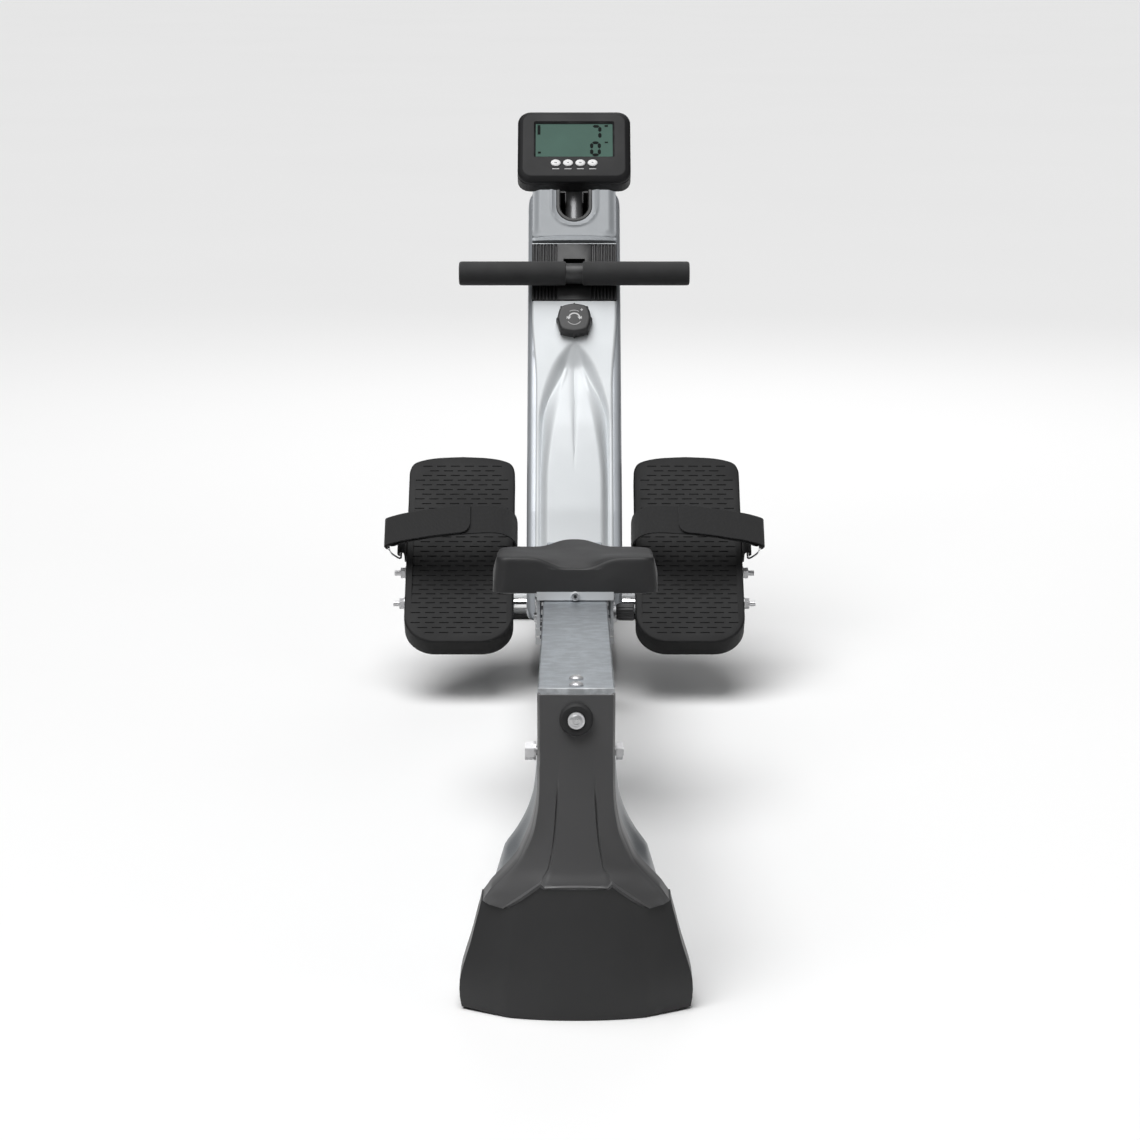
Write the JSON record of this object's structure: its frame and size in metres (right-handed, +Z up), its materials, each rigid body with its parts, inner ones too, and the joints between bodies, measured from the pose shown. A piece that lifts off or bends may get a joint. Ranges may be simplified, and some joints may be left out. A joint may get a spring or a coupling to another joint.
{
  "type": "rowing machine",
  "caption": "Folding rowing machine with a sloping rail, rolling seat, strapped footrests, housed magnetic flywheel, strap-pulled handle and a console on a mast.",
  "frame": {"origin": "middle of the bounding box, on the floor", "axes": "+Y forward from the rear leg to the front feet, +X to the rower's right, +Z up"},
  "size_m": [0.563, 1.92, 0.8211],
  "materials": {
    "frame_paint": "semi-gloss powder coat",
    "silver_paint": "satin silver paint",
    "zinc": "bright zinc plate",
    "chrome": "polished",
    "black_rubber": "matte",
    "pedal_plastic": "moulded, brick tread",
    "webbing": "woven webbing",
    "housing_silver": "metallic silver paint",
    "cover_silver": "light metallic silver paint",
    "neck_silver": "satin metallic silver paint",
    "wing_silver": "satin metallic silver paint",
    "black_plastic": "fine texture",
    "console_black": "satin",
    "mast_grey": "satin",
    "lcd": "liquid crystal panel",
    "button_white": "smooth",
    "steel_tube": "satin black",
    "foam": "closed-cell foam",
    "rail_aluminium": "brushed, anodised",
    "cap_grey": "fine texture",
    "seat_skin": "moulded polyurethane skin",
    "roller_nylon": "smooth",
    "pulley_plastic": "moulded",
    "flywheel_iron": "machined"
  },
  "bodies": {
    "frame": {"main_frame": "frame_paint", "fork_bracket": "silver_paint", "front_stabilizer": "silver_paint", "stabilizer_feet": "black_rubber", "hinge_bolt": "zinc", "footrest_rods": "zinc", "footrest_spacers": "chrome", "footrest_nuts": "zinc", "left_pedal": "pedal_plastic", "right_pedal": "pedal_plastic", "left_strap": "webbing", "right_strap": "webbing", "housing_left_shell": "housing_silver", "housing_right_shell": "housing_silver", "housing_front_cover": "cover_silver", "handle_rest": "black_plastic", "neck_cover": "neck_silver", "flywheel_axle": "zinc", "drive_shaft": "zinc", "drive_belt": "black_rubber", "return_spring": "zinc"},
    "tension_knob": {"tension_knob": "black_plastic"},
    "magnet_arm": {"magnet_arm": "frame_paint"},
    "flywheel": {"flywheel": "flywheel_iron"},
    "drive_pulley": {"drive_pulley": "pulley_plastic"},
    "spool": {"strap_spool": "roller_nylon"},
    "guide_roller": {"guide_roller": "roller_nylon"},
    "console": {"console_mast": "mast_grey", "console_rear_shell": "console_black", "console_front_shell": "console_black", "console_display": "lcd"},
    "button_1": {"console_button_1": "button_white"},
    "button_2": {"console_button_2": "button_white"},
    "button_3": {"console_button_3": "button_white"},
    "button_4": {"console_button_4": "button_white"},
    "handle": {"handle_bar": "steel_tube", "hand_grips": "foam", "handle_yoke": "black_plastic", "pull_strap": "webbing"},
    "rail": {"rail": "rail_aluminium", "rail_end_cap": "cap_grey", "rail_end_screws": "zinc", "rail_hinge_block": "silver_paint", "rail_stops": "black_rubber", "leg_post": "frame_paint", "leg_rear_cover": "black_plastic", "leg_front_cover": "wing_silver", "leg_bumper": "black_rubber", "leg_bolts": "zinc", "leg_floor_pads": "black_rubber"},
    "seat": {"seat_pad": "seat_skin", "seat_base": "black_plastic", "carriage": "silver_paint", "carriage_bolts": "zinc"},
    "front_rollers": {"front_rollers": "roller_nylon"},
    "rear_rollers": {"rear_rollers": "roller_nylon"},
    "lock_knob": {"lock_knob": "black_plastic"},
    "left_ring": {"left_ring": "chrome"},
    "right_ring": {"right_ring": "chrome"},
    "wheels": {"transport_wheels": "black_rubber"}
  },
  "joints": [
    {"name": "rail_fold", "type": "hinge", "parent": "frame", "child": "rail", "pos_m": [0, 0.385, 0.19], "axis": [-1, 0, 0], "range_deg": [0, 85]},
    {"name": "seat_slide", "type": "slide", "parent": "rail", "child": "seat", "axis": [0, 0.9962, -0.0872], "range_m": [-0.59, 0.22]},
    {"name": "front_roller_spin", "type": "hinge", "parent": "seat", "child": "front_rollers", "pos_m": [0, -0.08129, 0.25288], "axis": [-1, 0, 0], "continuous": true},
    {"name": "rear_roller_spin", "type": "hinge", "parent": "seat", "child": "rear_rollers", "pos_m": [0, -0.23072, 0.26595], "axis": [-1, 0, 0], "continuous": true},
    {"name": "handle_pull", "type": "slide", "parent": "frame", "child": "handle", "axis": [0, 1, 0], "range_m": [-1.1, 0], "stiffness_N_per_m": 15, "springref_m": 0.8, "deforming": ["pull_strap"]},
    {"name": "spool_spin", "type": "hinge", "parent": "frame", "child": "spool", "pos_m": [0, 0.68, 0.38], "axis": [1, 0, 0], "continuous": true},
    {"name": "guide_roller_spin", "type": "hinge", "parent": "frame", "child": "guide_roller", "pos_m": [0, 0.752, 0.58], "axis": [1, 0, 0], "continuous": true},
    {"name": "flywheel_spin", "type": "hinge", "parent": "frame", "child": "flywheel", "pos_m": [0, 0.7, 0.205], "axis": [1, 0, 0], "continuous": true},
    {"name": "drive_pulley_spin", "type": "hinge", "parent": "frame", "child": "drive_pulley", "pos_m": [0, 0.68, 0.38], "axis": [1, 0, 0], "continuous": true},
    {"name": "tension_knob_turn", "type": "hinge", "parent": "frame", "child": "tension_knob", "pos_m": [0, 0.662, 0.518], "axis": [0, -0.8, 0.6], "range_deg": [0, 280]},
    {"name": "magnet_arm_swing", "type": "hinge", "parent": "frame", "child": "magnet_arm", "pos_m": [0, 0.7546, 0.2923], "axis": [1, 0, 0], "range_deg": [0, 8.2]},
    {"name": "console_tilt", "type": "hinge", "parent": "frame", "child": "console", "pos_m": [0, 0.7939, 0.6314], "axis": [1, 0, 0], "range_deg": [-12, 10]},
    {"name": "lock_knob_pull", "type": "slide", "parent": "frame", "child": "lock_knob", "axis": [1, 0, 0], "range_m": [0, 0.012], "stiffness_N_per_m": 500, "springref_m": -0.01},
    {"name": "left_ring_swing", "type": "hinge", "parent": "frame", "child": "left_ring", "pos_m": [-0.257, 0.49645, 0.20695], "axis": [0, 0.7431, 0.6691], "range_deg": [-3, 3]},
    {"name": "right_ring_swing", "type": "hinge", "parent": "frame", "child": "right_ring", "pos_m": [0.257, 0.49645, 0.20695], "axis": [0, 0.7431, 0.6691], "range_deg": [-3, 3]},
    {"name": "wheel_spin", "type": "hinge", "parent": "frame", "child": "wheels", "pos_m": [0, 0.936, 0.027], "axis": [1, 0, 0], "continuous": true},
    {"name": "button_1_press", "type": "slide", "parent": "console", "child": "button_1", "axis": [0, 0.766, -0.6428], "range_m": [0, 0.0015], "stiffness_N_per_m": 300, "springref_m": -0.0005},
    {"name": "button_2_press", "type": "slide", "parent": "console", "child": "button_2", "axis": [0, 0.766, -0.6428], "range_m": [0, 0.0015], "stiffness_N_per_m": 300, "springref_m": -0.0005},
    {"name": "button_3_press", "type": "slide", "parent": "console", "child": "button_3", "axis": [0, 0.766, -0.6428], "range_m": [0, 0.0015], "stiffness_N_per_m": 300, "springref_m": -0.0005},
    {"name": "button_4_press", "type": "slide", "parent": "console", "child": "button_4", "axis": [0, 0.766, -0.6428], "range_m": [0, 0.0015], "stiffness_N_per_m": 300, "springref_m": -0.0005}
  ],
  "couplings": [
    {"joint": "front_roller_spin", "follows": "seat_slide", "rad_per_m": 94.34},
    {"joint": "rear_roller_spin", "follows": "seat_slide", "rad_per_m": 94.34},
    {"joint": "spool_spin", "follows": "handle_pull", "rad_per_m": -30.12},
    {"joint": "guide_roller_spin", "follows": "handle_pull", "rad_per_m": -80.645},
    {"joint": "drive_pulley_spin", "follows": "flywheel_spin", "ratio": 0.3},
    {"joint": "magnet_arm_swing", "follows": "tension_knob_turn", "ratio": 0.028571}
  ]
}
